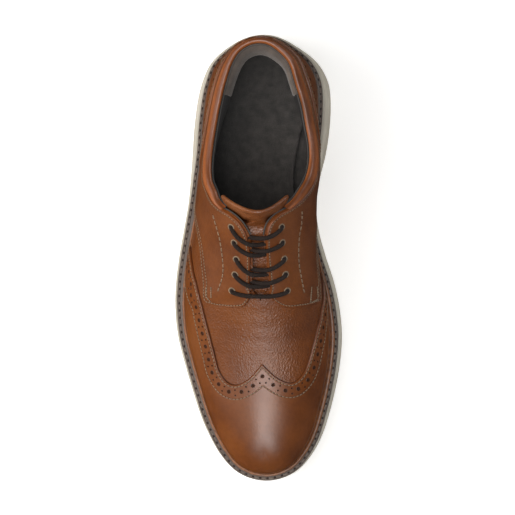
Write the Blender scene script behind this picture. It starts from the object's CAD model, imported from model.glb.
"""A leather wing-tip derby for the right foot, on a pale rubber unit sole, seen from above.

Sizes are in millimetres until a mesh is made. The toe points to -Y and the medial side is +X.
"""

import math

import bpy
import numpy as np
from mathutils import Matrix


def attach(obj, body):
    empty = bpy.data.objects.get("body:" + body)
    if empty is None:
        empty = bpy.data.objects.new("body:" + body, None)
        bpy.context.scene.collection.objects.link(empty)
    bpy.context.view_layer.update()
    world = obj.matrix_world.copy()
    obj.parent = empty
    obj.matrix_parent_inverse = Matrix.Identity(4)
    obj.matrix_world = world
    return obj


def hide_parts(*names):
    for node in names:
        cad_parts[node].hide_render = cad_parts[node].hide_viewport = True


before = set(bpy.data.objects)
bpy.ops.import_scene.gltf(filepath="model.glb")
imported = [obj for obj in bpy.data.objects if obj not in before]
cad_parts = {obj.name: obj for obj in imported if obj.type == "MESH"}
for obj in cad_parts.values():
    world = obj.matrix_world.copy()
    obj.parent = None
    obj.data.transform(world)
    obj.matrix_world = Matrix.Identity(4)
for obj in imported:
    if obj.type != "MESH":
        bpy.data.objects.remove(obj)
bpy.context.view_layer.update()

# Sole: one moulded piece of pale foamed rubber, with a groove round its side, an arch, toe
# spring and cross grooves in the tread. It carries the welt and spreads below it.
LENGTH = 300.0
BALL_WIDTH = 111.0
HEEL_HEIGHT = 27.0
TOE_SPRING = 9.0
ARCH_LIFT = 4.0
HEEL_BEVEL = 2.5
SOLE_FLARE = 5.0
SIDE_GROOVE = 1.2
TREAD_DEPTH = 2.0
TREAD_WIDTH = 3.2
WELT_MARGIN = 7.5
FIT = 0.3
SOLE_CREAM = (0.64, 0.59, 0.49)
SOLE_SHADE = (0.52, 0.46, 0.36)

# Edge of the welt: share of the length from the toe, the two sides as shares of the ball
# width, spread of the sole as a share of the flare, and how far the upper stands in from the
# edge on each side as shares of the welt margin.
OUTLINE = np.array([
    # at, lateral, medial, flare, in lateral, in medial
    (0.003, 0.040, 0.040, 0.22, 0.95, 0.95),
    (0.023, -0.134, 0.215, 0.25, 0.97, 0.97),
    (0.063, -0.235, 0.309, 0.35, 1.0, 1.0),
    (0.102, -0.295, 0.362, 0.40, 1.0, 1.0),
    (0.142, -0.342, 0.396, 0.45, 1.0, 1.0),
    (0.202, -0.395, 0.436, 0.48, 1.0, 1.0),
    (0.261, -0.442, 0.463, 0.50, 1.0, 1.0),
    (0.321, -0.482, 0.476, 0.50, 1.0, 1.0),
    (0.380, -0.499, 0.463, 0.50, 1.0, 0.97),
    (0.440, -0.496, 0.430, 0.50, 1.0, 0.85),
    (0.500, -0.475, 0.378, 0.50, 0.98, 0.62),
    (0.559, -0.446, 0.336, 0.48, 0.95, 0.46),
    (0.618, -0.417, 0.318, 0.52, 0.90, 0.42),
    (0.677, -0.394, 0.330, 0.72, 0.85, 0.48),
    (0.735, -0.373, 0.357, 0.95, 0.80, 0.60),
    (0.794, -0.360, 0.378, 1.00, 0.76, 0.70),
    (0.853, -0.339, 0.384, 1.00, 0.74, 0.74),
    (0.893, -0.313, 0.371, 0.95, 0.74, 0.74),
    (0.932, -0.267, 0.318, 0.80, 0.74, 0.74),
    (0.971, -0.147, 0.192, 0.60, 0.74, 0.74),
    (0.992, 0.028, 0.028, 0.48, 0.74, 0.74),
])
# Seat of the upper on the sole: share of the length, share of the heel height.
SEAT = np.array([
    (0.0, 0.8), (0.1, 0.635), (0.2, 0.555), (0.3, 0.535), (0.4, 0.56), (0.5, 0.635),
    (0.6, 0.755), (0.7, 0.87), (0.8, 0.95), (0.9, 1.0), (1.0, 1.03),
])
# Side of the sole: share of its height, share of the flare, share of the groove cut in.
SOLE_SIDE = [
    (0.0, 0.66, 0), (0.03, 0.84, 0), (0.09, 1.0, 0), (0.26, 0.93, 0), (0.43, 0.85, 0),
    (0.45, 0.82, 0.3), (0.47, 0.81, 1), (0.51, 0.8, 1), (0.55, 0.78, 1), (0.57, 0.77, 0.3),
    (0.59, 0.76, 0), (0.75, 0.64, 0), (0.9, 0.52, 0), (0.97, 0.42, 0), (1.0, 0.28, 0),
]
# Groups of cross grooves in the tread: from, to, count.
TREAD = [(0.1, 0.4, 8), (0.74, 0.95, 5)]


def cubic(xs, ys, x):
    """Smooth curve through the rows of a table."""
    slope = np.empty(len(xs))
    slope[1:-1] = (ys[2:] - ys[:-2]) / (xs[2:] - xs[:-2])
    slope[0] = (ys[1] - ys[0]) / (xs[1] - xs[0])
    slope[-1] = (ys[-1] - ys[-2]) / (xs[-1] - xs[-2])
    x = np.clip(x, xs[0], xs[-1])
    i = np.clip(np.searchsorted(xs, x, side="right") - 1, 0, len(xs) - 2)
    w = xs[i + 1] - xs[i]
    u = (x - xs[i]) / w
    d = 1 - u
    return (
        ys[i] * (1 + 2 * u) * d * d
        + ys[i + 1] * (3 - 2 * u) * u * u
        + slope[i] * w * u * d * d
        - slope[i + 1] * w * u * u * d
    )


def turn(table, at):
    """Angle round the shoe of a share of the length: 0 at the toe, pi at the heel."""
    start, end = table[0, 0], table[-1, 0]
    return np.arccos(1 - 2 * (np.asarray(at, float) - start) / (end - start))


def around(table, lateral, medial):
    """Two table columns read round the shoe. Negative angles are the lateral side."""
    inner = table[1:-1]
    angle = turn(table, inner[:, 0])
    heel = table[-1, medial]
    xs = np.concatenate([
        [-2 * math.pi + angle[-1], -math.pi], -angle[::-1], [0], angle,
        [math.pi, 2 * math.pi - angle[-1]],
    ])
    ys = np.concatenate([
        [inner[-1, medial], heel], inner[::-1, lateral], [table[0, medial]],
        inner[:, medial], [heel, inner[-1, lateral]],
    ])
    return lambda a: cubic(xs, ys, a - 2 * math.pi * np.round(a / (2 * math.pi)))


def length_at(table, a):
    start, end = table[0, 0], table[-1, 0]
    return LENGTH * (start + (end - start) * (1 - np.cos(a)) / 2 - 0.5)


welt_side = around(OUTLINE, 1, 2)
flare = around(OUTLINE, 3, 3)
stand_in = around(OUTLINE, 4, 5)


def seat(y):
    return cubic(SEAT[:, 0], SEAT[:, 1], y / LENGTH + 0.5) * HEEL_HEIGHT


def floor_line(y):
    at = y / LENGTH + 0.5
    toe = np.clip((0.2 - at) / 0.2, 0, None)
    arch = np.where((at > 0.44) & (at < 0.68), np.sin(math.pi * (at - 0.44) / 0.24), 0)
    back = np.clip((at - 0.94) / 0.06, 0, None)
    return TOE_SPRING * toe**2 + ARCH_LIFT * arch**2 + HEEL_BEVEL * back**2


def outward(a):
    """Direction outwards in plan at an angle round the welt."""
    dx = (welt_side(a + 0.01) - welt_side(a - 0.01)) * BALL_WIDTH
    dy = length_at(OUTLINE, a + 0.01) - length_at(OUTLINE, a - 0.01)
    size = np.hypot(dx, dy)
    return np.stack([dy / size, -dx / size, np.zeros_like(dx)], -1)


def welt_edge(a, out):
    """Points of the welt's edge moved outwards, at height zero."""
    x = welt_side(a) * BALL_WIDTH
    edge = np.stack([x, length_at(OUTLINE, a), np.zeros_like(x)], -1)
    return edge + outward(a) * np.asarray(out)[..., None] * np.ones_like(x)[..., None]


def make_piece(name, points, faces, material, uv=None, smooth=40.0):
    """A mesh object from points in millimetres, shaded smooth below an angle in degrees."""
    mesh = bpy.data.meshes.new(name)
    mesh.from_pydata((np.asarray(points) * 0.001).tolist(), [], faces)
    if uv is not None:
        layer = mesh.uv_layers.new(name="UVMap")
        index = np.empty(len(mesh.loops), int)
        mesh.loops.foreach_get("vertex_index", index)
        layer.data.foreach_set("uv", np.asarray(uv, float)[index].ravel())
    mesh.validate()
    piece = bpy.data.objects.new(name, mesh)
    bpy.context.collection.objects.link(piece)
    bpy.ops.object.select_all(action="DESELECT")
    bpy.context.view_layer.objects.active = piece
    piece.select_set(True)
    bpy.ops.object.mode_set(mode="EDIT")
    bpy.ops.mesh.select_all(action="SELECT")
    bpy.ops.mesh.remove_doubles(threshold=0.000002)
    bpy.ops.object.mode_set(mode="OBJECT")
    bpy.ops.object.shade_smooth_by_angle(angle=math.radians(smooth))
    mesh.materials.append(material)
    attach(piece, "root")
    return piece


def loop_stack(levels, cap=True):
    """Points and faces of closed outlines stacked upwards, filled from side to side."""
    count = len(levels[0])
    points = np.concatenate(levels)
    faces = []
    for k in range(len(levels) - 1):
        for i in range(count):
            j = (i + 1) % count
            faces.append((k * count + i, k * count + j, (k + 1) * count + j, (k + 1) * count + i))
    if cap:
        top = (len(levels) - 1) * count
        for j in range(1, count // 2):
            right, left = j, count - j
            ahead = (right - 1, (left + 1) % count)
            if j == 1:
                faces.append((top, top + right, top + left))
                faces.append((left, right, 0))
            else:
                faces.append((top + ahead[0], top + right, top + left, top + ahead[1]))
                faces.append((left, right, ahead[0], ahead[1]))
        half = count // 2
        faces.append((top + half - 1, top + half, top + half + 1))
        faces.append((half + 1, half, half - 1))
    return points, faces


def new_material(name, roughness, base):
    """A material with its nodes, for the sections below to build on."""
    material = bpy.data.materials.new(name)
    material.use_nodes = True
    shader = material.node_tree.nodes["Principled BSDF"]
    shader.inputs["Roughness"].default_value = roughness
    shader.inputs["Base Color"].default_value = (*base, 1)
    return material, material.node_tree, shader


def add_node(tree, kind, **values):
    """A node with its settings and its unlinked inputs set by name."""
    made = tree.nodes.new(kind)
    for key, value in values.items():
        if key in made.inputs:
            made.inputs[key].default_value = value
        else:
            setattr(made, key, value)
    return made


def object_noise(tree, scale, detail=3.0, stretch=(1, 1, 1)):
    """Noise fixed to the piece, at a scale per metre."""
    place = add_node(tree, "ShaderNodeTexCoord")
    turned = add_node(tree, "ShaderNodeMapping", Scale=stretch)
    noise = add_node(tree, "ShaderNodeTexNoise", Scale=scale, Detail=detail)
    tree.links.new(place.outputs["Object"], turned.inputs["Vector"])
    tree.links.new(turned.outputs["Vector"], noise.inputs["Vector"])
    return noise.outputs["Fac"]


def ramp(tree, source, stops):
    """Colours along a value: stops are (place, colour)."""
    made = add_node(tree, "ShaderNodeValToRGB")
    line = made.color_ramp
    while len(line.elements) < len(stops):
        line.elements.new(0.5)
    for element, (place, colour) in zip(line.elements, stops):
        element.position = place
        element.color = (*colour, 1)
    tree.links.new(source, made.inputs["Fac"])
    return made.outputs["Color"]


def bump(tree, source, strength, distance, before=None):
    """A bump from a height, over an earlier bump."""
    made = add_node(tree, "ShaderNodeBump", Strength=strength, Distance=distance)
    tree.links.new(source, made.inputs["Height"])
    if before is not None:
        tree.links.new(before, made.inputs["Normal"])
    return made.outputs["Normal"]


rubber, tree, shader = new_material("sole_rubber_look", 0.62, SOLE_CREAM)
cloudy = object_noise(tree, 22, 4)
tone = ramp(tree, cloudy, [(0.35, SOLE_SHADE), (0.62, SOLE_CREAM)])
tree.links.new(tone, shader.inputs["Base Color"])
pores = bump(tree, object_noise(tree, 1400, 2), 0.25, 0.0003)
tree.links.new(bump(tree, object_noise(tree, 90, 3), 0.15, 0.0008, pores), shader.inputs["Normal"])

# Angles round the shoe, toe first, with the tread's groove edges among them.
groove_ys = []
for start, end, count in TREAD:
    for i in range(count):
        middle = (start + (end - start) * (i + 0.5) / count - 0.5) * LENGTH
        groove_ys.append(middle)
edges = [y + side * TREAD_WIDTH / 2 + nudge for y in groove_ys for side in (-1, 1)
         for nudge in (-0.05, 0.05)]
edge_angles = turn(OUTLINE, np.array(edges) / LENGTH + 0.5)
half = np.unique(np.concatenate([np.linspace(0, math.pi, 181), edge_angles]))
around_angles = np.concatenate([half, -half[-2:0:-1]])

levels = []
for up, spread, cut in SOLE_SIDE:
    out = flare(around_angles) * SOLE_FLARE * spread - cut * SIDE_GROOVE
    level = welt_edge(around_angles, out)
    low = floor_line(level[:, 1])
    height = low + (seat(level[:, 1]) - low) * up
    mid_y = length_at(OUTLINE, around_angles)
    inside = np.min(np.abs(mid_y[:, None] - np.array(groove_ys)[None]), axis=1) < TREAD_WIDTH / 2
    level[:, 2] = np.where(inside, np.maximum(height, low + TREAD_DEPTH), height)
    levels.append(level)
points, faces = loop_stack(levels)
sole = make_piece("sole_look", points, faces, rubber, smooth=32)
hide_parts("sole")

# Welt: a flat taupe leather strip stitched down all the way round, with a shallow channel
# for the seam and a rounded outer edge.
WELT_THICK = 3.0
BEAD_WIDTH = 1.5
BEAD_HEIGHT = 1.5
WELT_TAUPE = (0.150, 0.100, 0.070)
WELT_DARK = (0.080, 0.052, 0.037)
ring_angles = np.linspace(-math.pi, math.pi, 721)[:-1]


def feather_edge(a, out=0.0):
    """Foot of the upper, standing in from the welt's edge."""
    foot = welt_edge(a, out - stand_in(a) * WELT_MARGIN)
    foot[..., 2] = seat(foot[..., 1]) + FIT
    return foot


def ring(corners):
    """Points and faces of a closed section swept round the shoe."""
    count = len(corners[0])
    points = np.concatenate(corners)
    faces = []
    for k in range(len(corners)):
        m = (k + 1) % len(corners)
        for i in range(count):
            j = (i + 1) % count
            faces.append((k * count + i, k * count + j, m * count + j, m * count + i))
    return points, faces


def welt_point(a, share, height):
    """A point across the welt: share 0 is its outer edge and 1 its inner edge."""
    outer = welt_edge(a, 0.0)
    inner = feather_edge(a, FIT)
    p = outer + (inner - outer) * share
    p[..., 2] = seat(p[..., 1]) + height
    return p


def welt_lines():
    top = FIT + WELT_THICK
    rows = [(1, FIT), (0, FIT), (0, 1.2), (0.0, top - 0.9), (0.03, top - 0.4), (0.06, top - 0.1),
            (0.1, top), (0.12, top), (0.14, top - 0.3), (0.31, top - 0.3), (0.33, top), (1, top)]
    return [welt_point(ring_angles, share, height) for share, height in rows]


welt_leather, tree, shader = new_material("welt_look", 0.55, WELT_TAUPE)
tone = ramp(tree, object_noise(tree, 160, 4), [(0.3, WELT_DARK), (0.7, WELT_TAUPE)])
tree.links.new(tone, shader.inputs["Base Color"])
tree.links.new(bump(tree, object_noise(tree, 900, 4), 0.35, 0.0004), shader.inputs["Normal"])
points, faces = ring(welt_lines())
welt = make_piece("welt_look", points, faces, welt_leather)
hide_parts("welt")

# Bead: a doubled strip of thin tan leather between the welt and the upper, widest round the
# toe, where both its folds show, and drawn in at the heel.
BEAD_TAN = (0.36, 0.125, 0.032)
BEAD_REACH = np.array([
    # at, lateral, medial, as shares of the welt's width
    (0.003, 0.56, 0.56), (0.10, 0.52, 0.64), (0.30, 0.48, 0.66), (0.45, 0.42, 0.62),
    (0.60, 0.34, 0.50), (0.75, 0.26, 0.30), (0.992, 0.26, 0.26),
])
BEAD_SECTION = [
    # across, up
    (0.0, 0.0), (0.0, 0.8), (0.1, 1.0), (0.28, 1.0), (0.42, 0.8), (0.5, 0.45), (0.58, 0.62),
    (0.74, 0.78), (0.9, 0.66), (1.0, 0.35), (1.0, 0.0),
]
bead_leather, tree, shader = new_material("bead_look", 0.45, BEAD_TAN)
tone = ramp(tree, object_noise(tree, 260, 3), [(0.3, (0.17, 0.062, 0.018)), (0.65, BEAD_TAN)])
tree.links.new(tone, shader.inputs["Base Color"])
tree.links.new(bump(tree, object_noise(tree, 900, 4), 0.3, 0.0003), shader.inputs["Normal"])
lateral, medial = (cubic(BEAD_REACH[:, 0], BEAD_REACH[:, k], OUTLINE[:, 0]) for k in (1, 2))
reach = around(np.stack([OUTLINE[:, 0], lateral, medial], -1), 1, 2)(ring_angles)
wide = reach * stand_in(ring_angles) * WELT_MARGIN
corners = []
for across, up in BEAD_SECTION:
    corner = feather_edge(ring_angles, FIT + across * wide)
    corner[:, 2] = seat(corner[:, 1]) + 2 * FIT + WELT_THICK + up * BEAD_HEIGHT
    corners.append(corner)
points, faces = ring(corners)
bead = make_piece("welt_bead_look", points, faces, bead_leather, smooth=60)
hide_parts("welt_bead")

# Upper: one lasted leather wall, hollow, open at the collar, along the throat and underneath.
# The vamp shows between the wing tip and the quarters, with soft creases across the ball.
INSTEP_HEIGHT = 96.0
WALL = 1.8
THROAT_AT = 0.405
WALL_SHARE = 0.08
TAN = (0.208, 0.056, 0.008)
TAN_LIGHT = (0.248, 0.072, 0.011)
TAN_DARK = (0.145, 0.037, 0.006)
LINING_BLACK = (0.016, 0.014, 0.013)

# Top edge of the last: share of the length, the two sides, height as a share of the instep
# height, roof angle, fullness low and high on the rib, lean outwards on the two sides.
TOPLINE = np.array([
    # at, lateral, medial, height, roof, low, high, lean lateral, lean medial
    (0.075, 0.032, 0.032, 0.455, 0, 0.62, 0.62, 12, 12),
    (0.120, 0.032, 0.032, 0.492, 0, 0.62, 0.62, 13, 12),
    (0.180, 0.032, 0.032, 0.512, 0, 0.60, 0.60, 14, 11),
    (0.240, 0.032, 0.032, 0.533, 0, 0.58, 0.56, 14, 10),
    (0.300, 0.031, 0.031, 0.575, 0, 0.55, 0.50, 14, 9),
    (0.360, 0.029, 0.029, 0.642, 0, 0.50, 0.44, 14, 9),
    (0.405, 0.027, 0.027, 0.706, 1, 0.46, 0.40, 13, 10),
    (0.411, 0.0265, 0.0285, 0.7145, 2, 0.455, 0.395, 13, 10),
    (0.430, -0.021, 0.074, 0.742, 4, 0.44, 0.38, 12, 11),
    (0.455, -0.018, 0.071, 0.785, 7, 0.42, 0.36, 12, 13),
    (0.500, -0.012, 0.061, 0.866, 10, 0.40, 0.34, 11, 16),
    (0.540, -0.023, 0.059, 0.937, 14, 0.38, 0.33, 10, 21),
    (0.560, -0.045, 0.068, 0.965, 18, 0.38, 0.33, 9, 23),
    (0.577, -0.078, 0.090, 0.977, 25, 0.37, 0.33, 9, 26),
    (0.591, -0.122, 0.130, 0.968, 34, 0.36, 0.33, 9, 27),
    (0.604, -0.180, 0.190, 0.938, 47, 0.35, 0.33, 9, 27),
    (0.620, -0.230, 0.250, 0.885, 59, 0.34, 0.33, 8, 27),
    (0.640, -0.261, 0.297, 0.825, 67, 0.34, 0.33, 8, 25),
    (0.665, -0.289, 0.334, 0.768, 73, 0.34, 0.33, 7, 23),
    (0.700, -0.293, 0.352, 0.718, 77, 0.34, 0.33, 6, 19),
    (0.740, -0.281, 0.349, 0.698, 79, 0.34, 0.33, 6, 14),
    (0.780, -0.264, 0.331, 0.698, 79, 0.34, 0.33, 7, 10),
    (0.830, -0.238, 0.305, 0.714, 79, 0.34, 0.34, 8, 8),
    (0.875, -0.206, 0.268, 0.742, 78, 0.34, 0.35, 8, 8),
    (0.920, -0.153, 0.219, 0.776, 77, 0.34, 0.36, 9, 9),
    (0.948, -0.088, 0.140, 0.798, 76, 0.35, 0.37, 10, 10),
    (0.962, 0.030, 0.030, 0.812, 76, 0.35, 0.37, 10, 10),
])
# Creases across the vamp: share of the length at the ridge, depth, half width, how far the
# crease bends back towards the sides.
CREASES = [
    (0.285, 0.10, 2.2, 10), (0.318, 0.16, 2.6, 9), (0.349, 0.2, 2.8, 7), (0.376, 0.14, 2.4, 5),
]

top_split = around(TOPLINE, 1, 2)
top_height, top_roof, rib_low, rib_high = (around(TOPLINE, k, k) for k in (3, 4, 5, 6))
rib_lean = around(TOPLINE, 7, 8)
throat_angle = float(turn(TOPLINE, THROAT_AT))


def is_open(a):
    return np.abs(a) > throat_angle + 1e-6


def top_edge(a):
    """Top end of the rib at an angle. Ahead of the throat both sides end on one ridge."""
    side = np.where(is_open(a), top_split(a), (top_split(a) + top_split(-a)) / 2)
    return np.stack([side * BALL_WIDTH, length_at(TOPLINE, a), top_height(a) * INSTEP_HEIGHT], -1)


def top_direction(a):
    """Direction in which a rib arrives at the top edge."""
    roof = np.radians(top_roof(a))
    inwards = -outward(a)
    near = np.clip(np.abs(a), 0.2, math.pi - 0.2)
    ahead, behind = top_edge(near - 0.02), top_edge(near + 0.02)
    rise = (behind[..., 2] - ahead[..., 2]) / (behind[..., 1] - ahead[..., 1])
    climb = np.cos(roof) ** 2 * rise * inwards[..., 1]
    way = inwards * np.cos(roof)[..., None]
    way[..., 2] = np.sin(roof) + climb
    return way / np.linalg.norm(way, axis=-1, keepdims=True)


def last_point(a, v):
    """The last at an angle round the shoe and a share up the rib."""
    a, v = np.broadcast_arrays(np.asarray(a, float), np.asarray(v, float))
    feather_wall = WELT_THICK + BEAD_HEIGHT + 3 * FIT
    foot = feather_edge(a)
    foot[..., 2] += feather_wall * np.minimum(v / WALL_SHARE, 1)
    top = top_edge(a)
    roof = np.radians(top_roof(a))
    rise = top[..., 2] - foot[..., 2]
    reach = np.hypot(top[..., 0] - foot[..., 0], top[..., 1] - foot[..., 1])
    full = (rib_low(a) * rise)[..., None]
    first = foot + outward(a) * np.tan(np.radians(rib_lean(a)))[..., None] * full
    first = first + full * np.array([0, 0, 1.0])
    span = reach * np.cos(roof) + rise * np.sin(roof)
    second = top - top_direction(a) * (rib_high(a) * span)[..., None]
    u = np.clip((v - WALL_SHARE) / (1 - WALL_SHARE), 0, 1)[..., None]
    d = 1 - u
    return foot * d**3 + first * 3 * u * d**2 + second * 3 * u**2 * d + top * u**3


def last_normal(a, v):
    a, v = np.broadcast_arrays(np.asarray(a, float), np.asarray(v, float))
    side = np.minimum(v, 0.998)
    high = np.minimum(side + 0.004, 0.998)
    low = np.where(side - 0.004 < 0, 0, np.minimum(side - 0.004, 0.99))
    normal = np.cross(
        last_point(a + 0.004, side) - last_point(a - 0.004, side),
        last_point(a, high) - last_point(a, low),
    )
    return normal / np.linalg.norm(normal, axis=-1, keepdims=True)


def crease_depth(a, v):
    """How far the leather sinks in a crease: soft troughs with a low ridge beside them."""
    p = last_point(a, v)
    across = (p[..., 0] - 0.03 * BALL_WIDTH) / (0.4 * BALL_WIDTH)
    sunk = np.zeros(p.shape[:-1])
    for at, depth, wide, bend in CREASES:
        wander = 1.3 * np.sin(across * 5 + at * 70)
        from_line = p[..., 1] - ((at - 0.5) * LENGTH + bend * across**2 + wander)
        trough = np.exp(-((from_line / wide) ** 2))
        ridge = np.exp(-(((from_line - 2.2 * wide) / (1.4 * wide)) ** 2))
        fade = np.exp(-((across / 0.85) ** 4))
        sunk = sunk + depth * fade * (trough - 0.55 * ridge)
    return sunk


def skin(a, v, off):
    """The last moved outwards by a distance. On the closed ridge both sides share a normal."""
    a, v = np.broadcast_arrays(np.asarray(a, float), np.asarray(v, float))
    normal = last_normal(a, v)
    ridge = (v >= 1) & ~is_open(a)
    shared = normal + last_normal(-a, v)
    shared = shared / np.linalg.norm(shared, axis=-1, keepdims=True)
    normal = np.where(ridge[..., None], shared, normal)
    lift = np.asarray(off) - crease_depth(a, v)
    return last_point(a, v) + normal * lift[..., None]


def grid_faces(rows, columns, offset=0, flip=False):
    faces = []
    for i in range(rows - 1):
        for k in range(columns - 1):
            a = offset + i * columns + k
            quad = (a, a + columns, a + columns + 1, a + 1)
            faces.append(quad[::-1] if flip else quad)
    return faces


def leather_look(name, light, mid, dark, roughness, grain=1.0):
    """Waxed leather: faint burnished patches, grain, small wrinkles and a thin wax coat."""
    material, tree, shader = new_material(name, roughness, mid)
    tone = ramp(tree, object_noise(tree, 34, 6), [(0.28, dark), (0.5, mid), (0.75, light)])
    mottle = ramp(tree, object_noise(tree, 420, 5), [(0.3, (0.7, 0.68, 0.66)), (0.62, (1, 1, 1))])
    mixed = add_node(tree, "ShaderNodeMix", data_type="RGBA", blend_type="MULTIPLY")
    mixed.inputs[0].default_value = 0.4
    tree.links.new(tone, mixed.inputs[6])
    tree.links.new(mottle, mixed.inputs[7])
    tree.links.new(mixed.outputs[2], shader.inputs["Base Color"])
    place = add_node(tree, "ShaderNodeTexCoord")
    bent = add_node(tree, "ShaderNodeMapping", Scale=(1.0, 0.7, 1.0))
    bent.inputs["Rotation"].default_value = (0, 0, math.radians(35))
    folded = add_node(tree, "ShaderNodeMapping", Scale=(1.0, 2.4, 1.0))
    folded.inputs["Rotation"].default_value = (0, 0, math.radians(-38))
    tree.links.new(place.outputs["Object"], folded.inputs["Vector"])
    folds = add_node(tree, "ShaderNodeTexNoise", Scale=620, Detail=4, Distortion=0.5)
    tree.links.new(folded.outputs["Vector"], folds.inputs["Vector"])
    cells = add_node(tree, "ShaderNodeTexVoronoi", Scale=1050, feature="SMOOTH_F1")
    tree.links.new(place.outputs["Object"], bent.inputs["Vector"])
    tree.links.new(bent.outputs["Vector"], cells.inputs["Vector"])
    grained = bump(tree, cells.outputs["Distance"], 0.35 * grain, 0.0005)
    wrinkled = bump(tree, folds.outputs["Fac"], 0.2 * grain, 0.0006, grained)
    tree.links.new(wrinkled, shader.inputs["Normal"])
    rough = add_node(tree, "ShaderNodeMapRange")
    rough.inputs["To Min"].default_value = roughness - 0.08
    rough.inputs["To Max"].default_value = roughness + 0.1
    tree.links.new(object_noise(tree, 60, 4), rough.inputs["Value"])
    tree.links.new(rough.outputs["Result"], shader.inputs["Roughness"])
    shader.inputs["Specular IOR Level"].default_value = 0.4
    shader.inputs["Coat Weight"].default_value = 0.06
    shader.inputs["Coat Roughness"].default_value = 0.3
    return material


def paint(piece, numbers):
    """Gives each face its material, where the faces are still the ones that were made."""
    if len(piece.data.polygons) == len(numbers):
        piece.data.polygons.foreach_set("material_index", numbers)


vamp_leather = leather_look("vamp_look", TAN_LIGHT, TAN, TAN_DARK, 0.4, 1.7)
lining_cloth, tree, shader = new_material("lining_look", 0.9, LINING_BLACK)
tree.links.new(bump(tree, object_noise(tree, 1500, 2), 0.4, 0.0003), shader.inputs["Normal"])

# Stations along one side, close together round the facing corners, and rows up the ribs.
rib_angles = np.unique(np.concatenate([
    np.linspace(0, math.pi, 171),
    np.linspace(turn(TOPLINE, 0.54), turn(TOPLINE, 0.66), 36),
    [throat_angle],
]))
rib_rows = np.concatenate([[0, 0.04], np.linspace(WALL_SHARE, 1, 46)])


def wall_side(side, angles, rows, off):
    return skin(side * angles[:, None], rows[None, :], off)


points, faces, material_of = [], [], []
start = 0
for side in (-1, 1):
    outer = wall_side(side, rib_angles, rib_rows, 0.0)
    inner = last_point(side * rib_angles[:, None], rib_rows[None, :])
    inner = inner - last_normal(side * rib_angles[:, None], rib_rows[None, :]) * WALL
    ridge = ~is_open(rib_angles)
    shared = last_normal(rib_angles, 1.0) + last_normal(-rib_angles, 1.0)
    shared = shared / np.linalg.norm(shared, axis=-1, keepdims=True)
    inner[ridge, -1] = (last_point(rib_angles, 1.0) - shared * WALL)[ridge]
    n, m = len(rib_angles), len(rib_rows)
    points += [outer.reshape(-1, 3), inner.reshape(-1, 3)]
    outside = grid_faces(n, m, start, side < 0)
    inside = grid_faces(n, m, start + n * m, side > 0)
    rim = []
    for i in range(n - 1):
        a, b = start + i * m, start + (i + 1) * m
        low = (a, a + n * m, b + n * m, b)
        rim.append(low if side > 0 else low[::-1])
        if rib_angles[i + 1] > throat_angle + 1e-6:
            a, b = a + m - 1, b + m - 1
            high = (a, b, b + n * m, a + n * m)
            rim.append(high if side > 0 else high[::-1])
    faces += outside + inside + rim
    material_of += [0] * len(outside) + [1] * len(inside) + [0] * len(rim)
    start += 2 * n * m
upper = make_piece("upper_look", np.concatenate(points), faces, vamp_leather, smooth=50)
upper.data.materials.append(lining_cloth)
paint(upper, material_of)
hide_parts("upper")

# Overlays: pieces of the same leather laid on the upper, cut to their outlines, skived round
# the edge and stitched. All are made the same way, from the last moved outwards.
OVERLAY = 1.3
OVERLAY_TOP = 0.98
EDGE_ROUND = 0.8
EDGE_STEPS = 5
EDGE_BURIED = 0.25
SIDES = {"lateral": -1, "medial": 1}


def spline(rows, steps=10):
    """Smooth line through the rows of a short table."""
    rows = np.asarray(rows, float)
    index = np.arange(len(rows), dtype=float)
    fine = np.linspace(0, len(rows) - 1, (len(rows) - 1) * steps + 1)
    return np.stack([cubic(index, rows[:, k], fine) for k in range(rows.shape[1])], -1)


def find_on_last(target, axes, side, start=0.6, top=1.0):
    """Angles and rib shares at which the last passes two coordinates of each point."""
    target = np.atleast_2d(np.asarray(target, float))
    along = target[:, 0] if axes[0] == 1 else target[:, 1]
    a = side * turn(TOPLINE, np.clip(along / LENGTH + 0.5, 0.1, 0.9))
    v = np.full(len(target), start)
    for _ in range(30):
        p = last_point(a, v)
        da = (last_point(a + 1e-4, v) - p)[:, axes] * 1e4
        dv = (last_point(a, v - 1e-4) - p)[:, axes] * -1e4
        error = target - p[:, axes]
        det = da[:, 0] * dv[:, 1] - da[:, 1] * dv[:, 0]
        a = a + (error[:, 0] * dv[:, 1] - error[:, 1] * dv[:, 0]) / det
        v = v + (da[:, 0] * error[:, 1] - da[:, 1] * error[:, 0]) / det
        v = np.clip(v, WALL_SHARE / 2, top)
    return a, v


def in_plan(rows):
    """Rows of length share and width share as plan points."""
    line = spline(rows)
    return np.stack([line[:, 1] * BALL_WIDTH, (line[:, 0] - 0.5) * LENGTH], -1)


def in_side(rows, more=0.0):
    """Rows of length and height shares as points seen from the side, moved up and forward."""
    line = spline(rows)
    forward, up = -more, more
    return np.stack([(line[:, 0] - 0.5) * LENGTH + forward,
                     line[:, 1] * INSTEP_HEIGHT + up], -1)


def encloses(outline, x, y):
    """Whether points lie inside a closed outline."""
    inside = np.zeros(x.shape, bool)
    ends = np.roll(outline, -1, axis=0)
    for (ax, ay), (bx, by) in zip(outline, ends):
        if ay == by:
            continue
        cut = (ay > y) != (by > y)
        inside ^= cut & (x < ax + (y - ay) * (bx - ax) / (by - ay))
    return inside


def resample(line, step):
    """A line of points walked at even steps. Columns past the third ride along."""
    gaps = np.linalg.norm(np.diff(line[:, :3], axis=0), axis=1)
    reach = np.concatenate([[0], np.cumsum(gaps)])
    count = max(int(round(reach[-1] / step)), 1)
    places = np.linspace(0, reach[-1], count + 1)
    return np.stack([np.interp(places, reach, line[:, k]) for k in range(line.shape[1])], -1)


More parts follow.
